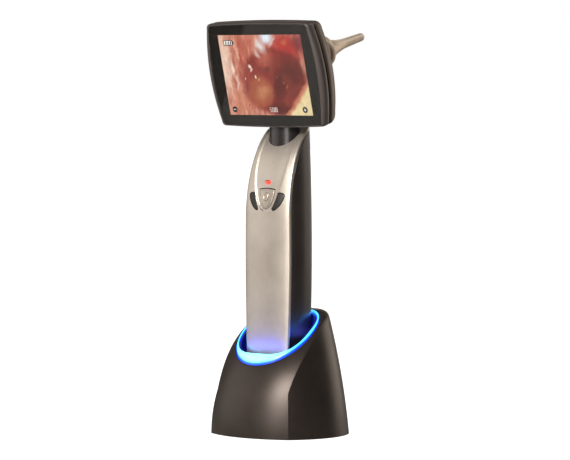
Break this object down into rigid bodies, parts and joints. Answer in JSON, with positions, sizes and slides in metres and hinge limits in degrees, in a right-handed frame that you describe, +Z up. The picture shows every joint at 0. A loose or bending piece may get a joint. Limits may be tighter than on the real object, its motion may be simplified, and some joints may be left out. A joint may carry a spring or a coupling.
{
  "type": "video otoscope with charging cradle",
  "caption": "Handheld video otoscope with a screen head, push buttons and a metal ear speculum, standing in a charging cradle with a lit ring.",
  "frame": {"origin": "centre of the cradle's flat rubber underside, on the surface it stands on, on the handle's centre line in X", "axes": "+Z up along the handle, the screen faces -Y and leans forward, the speculum points to +Y, +X is to the right when looking at the screen"},
  "size_m": [0.0958, 0.1203, 0.2648],
  "materials": {
    "cradle_body": "dark gunmetal brown-grey satin paint over plastic",
    "ring_diffuser": "translucent light guide, lit cyan blue",
    "socket_liner": "near-black moulded plastic",
    "black_plastic": "satin black-brown moulded plastic",
    "rubber_pad": "matt black rubber",
    "steel": "plated steel",
    "circuit_board": "green solder mask",
    "gold_contact": "gold-plated",
    "flat_cable": "amber film",
    "silver_paint": "warm silver metallic paint, satin, fine speckle",
    "button_black": "satin black",
    "red_indicator": "translucent red, lit",
    "bezel_plastic": "dark purple-grey satin paint",
    "head_back_plastic": "warm brown-grey satin paint",
    "screen_glass": "polished black-bordered glass",
    "screen_picture": "lit colour display",
    "champagne_metal": "champagne-nickel, fine turned finish",
    "lens_glass": "coated optical glass",
    "battery_wrap": "blue shrink wrap"
  },
  "bodies": {
    "cradle": {"cradle_shell": "cradle_body", "light_ring": "ring_diffuser", "ring_led_strip": "circuit_board", "socket_liner": "socket_liner", "base_plate": "black_plastic", "anti_slip_pad": "rubber_pad", "base_screw_1": "steel", "base_screw_2": "steel", "base_screw_3": "steel", "base_screw_4": "steel", "ballast_plate": "steel", "charging_board": "circuit_board", "dc_jack": "black_plastic"},
    "handset": {"backlight_unit": "steel", "battery_pack": "battery_wrap", "camera_housing": "head_back_plastic", "centre_switch": "steel", "charge_contact_left": "gold_contact", "charge_contact_right": "gold_contact", "display_ribbon_cable": "flat_cable", "handle_front_cover": "silver_paint", "handle_rear_cover": "black_plastic", "handle_screw_1": "steel", "handle_screw_2": "steel", "handle_screw_3": "steel", "head_board": "circuit_board", "head_chassis": "steel", "head_front_bezel": "bezel_plastic", "head_rear_shell": "head_back_plastic", "head_screw_1": "steel", "head_screw_2": "steel", "head_screw_3": "steel", "head_screw_4": "steel", "image_sensor_board": "circuit_board", "indicator_led_lens": "red_indicator", "lamp_board": "circuit_board", "lcd_panel": "screen_picture", "left_switch": "steel", "lens_cell": "steel", "lens_tube": "steel", "main_board": "circuit_board", "neck": "black_plastic", "objective_lens": "lens_glass", "relay_lens": "lens_glass", "right_switch": "steel", "screen_glass": "screen_glass", "status_led": "red_indicator"},
    "charge_pin_left": {"charge_pin_left": "gold_contact"},
    "charge_pin_right": {"charge_pin_right": "gold_contact"},
    "centre_button": {"centre_button": "silver_paint"},
    "left_button": {"left_button": "button_black"},
    "right_button": {"right_button": "button_black"},
    "focus_ring": {"focus_ring": "champagne_metal"},
    "speculum": {"speculum": "champagne_metal"}
  },
  "joints": [
    {"name": "handset_lift", "type": "slide", "parent": "cradle", "child": "handset", "axis": [0, 0, 1], "range_m": [0, 0.08]},
    {"name": "centre_button_press", "type": "slide", "parent": "handset", "child": "centre_button", "axis": [0, 1, 0], "range_m": [0, 0.0004], "stiffness_N_per_m": 600},
    {"name": "left_button_press", "type": "slide", "parent": "handset", "child": "left_button", "axis": [0, 1, 0], "range_m": [0, 0.0004], "stiffness_N_per_m": 600},
    {"name": "right_button_press", "type": "slide", "parent": "handset", "child": "right_button", "axis": [0, 1, 0], "range_m": [0, 0.0004], "stiffness_N_per_m": 600},
    {"name": "charge_pin_left_press", "type": "slide", "parent": "cradle", "child": "charge_pin_left", "axis": [0, 0, 1], "range_m": [-0.001, 0], "stiffness_N_per_m": 300},
    {"name": "charge_pin_right_press", "type": "slide", "parent": "cradle", "child": "charge_pin_right", "axis": [0, 0, 1], "range_m": [-0.001, 0], "stiffness_N_per_m": 300},
    {"name": "focus_turn", "type": "hinge", "parent": "handset", "child": "focus_ring", "pos_m": [0, 0.02902, 0.24199], "axis": [0, 0.9707, 0.2402], "range_deg": [-60, 60]},
    {"name": "speculum_pull", "type": "slide", "parent": "handset", "child": "speculum", "axis": [0, 0.9707, 0.2402], "range_m": [0, 0.045]}
  ]
}
